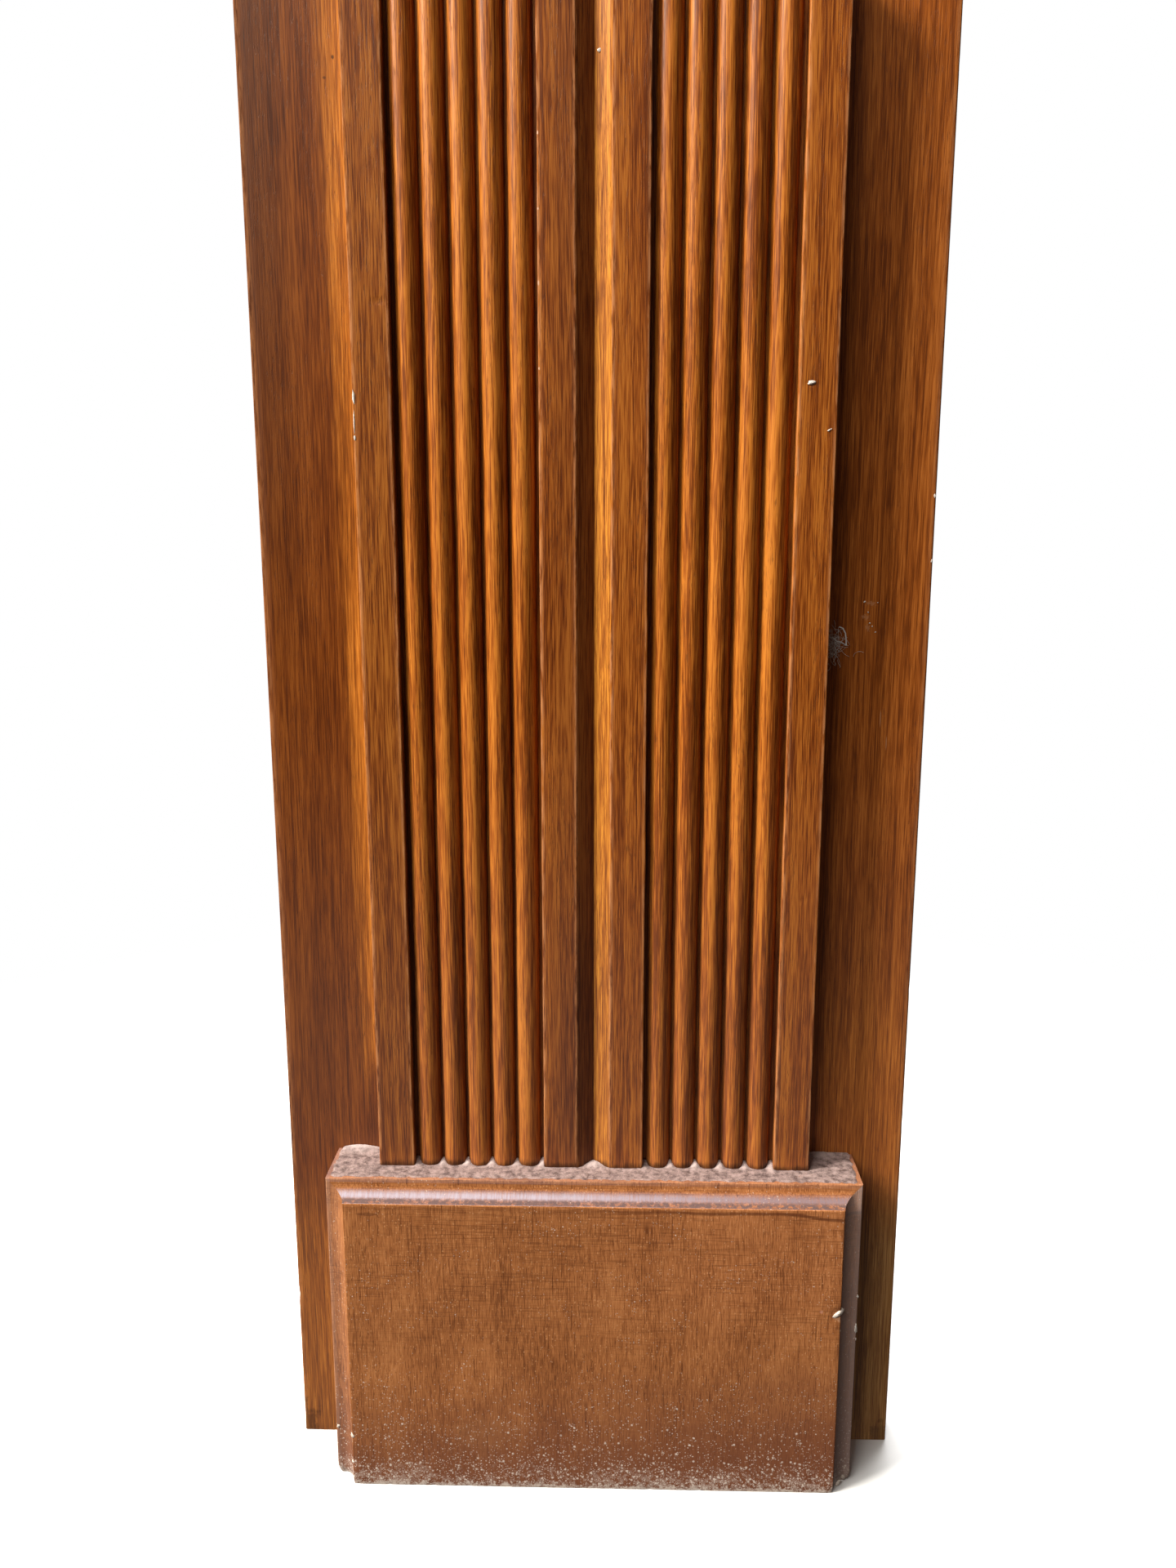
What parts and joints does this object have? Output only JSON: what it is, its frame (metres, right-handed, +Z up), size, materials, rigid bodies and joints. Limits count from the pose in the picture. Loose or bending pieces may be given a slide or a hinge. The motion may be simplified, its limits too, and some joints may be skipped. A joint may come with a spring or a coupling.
{
  "type": "fireplace mantel leg",
  "caption": "Lower part of a fireplace mantel leg: a reeded pilaster with a V groove on a flat back board, standing on a plinth block with a coved edge.",
  "frame": {"origin": "middle of the leg's footprint, on the floor plane", "axes": "+Z up along the leg, -Y towards the viewer of the moulded front, +X to that viewer's right"},
  "size_m": [0.2928, 0.0554, 0.665],
  "materials": {
    "board_wood": "dark reddish-brown stained hardwood under satin lacquer",
    "pilaster_wood": "reddish-brown stained straight-grained hardwood under satin lacquer",
    "plinth_wood": "brown stained hardwood under satin lacquer, dusty on top and scuffed pale near the floor"
  },
  "bodies": {
    "root": {"back_board": "board_wood", "reeded_pilaster": "pilaster_wood", "plinth_block": "plinth_wood"}
  },
  "joints": []
}
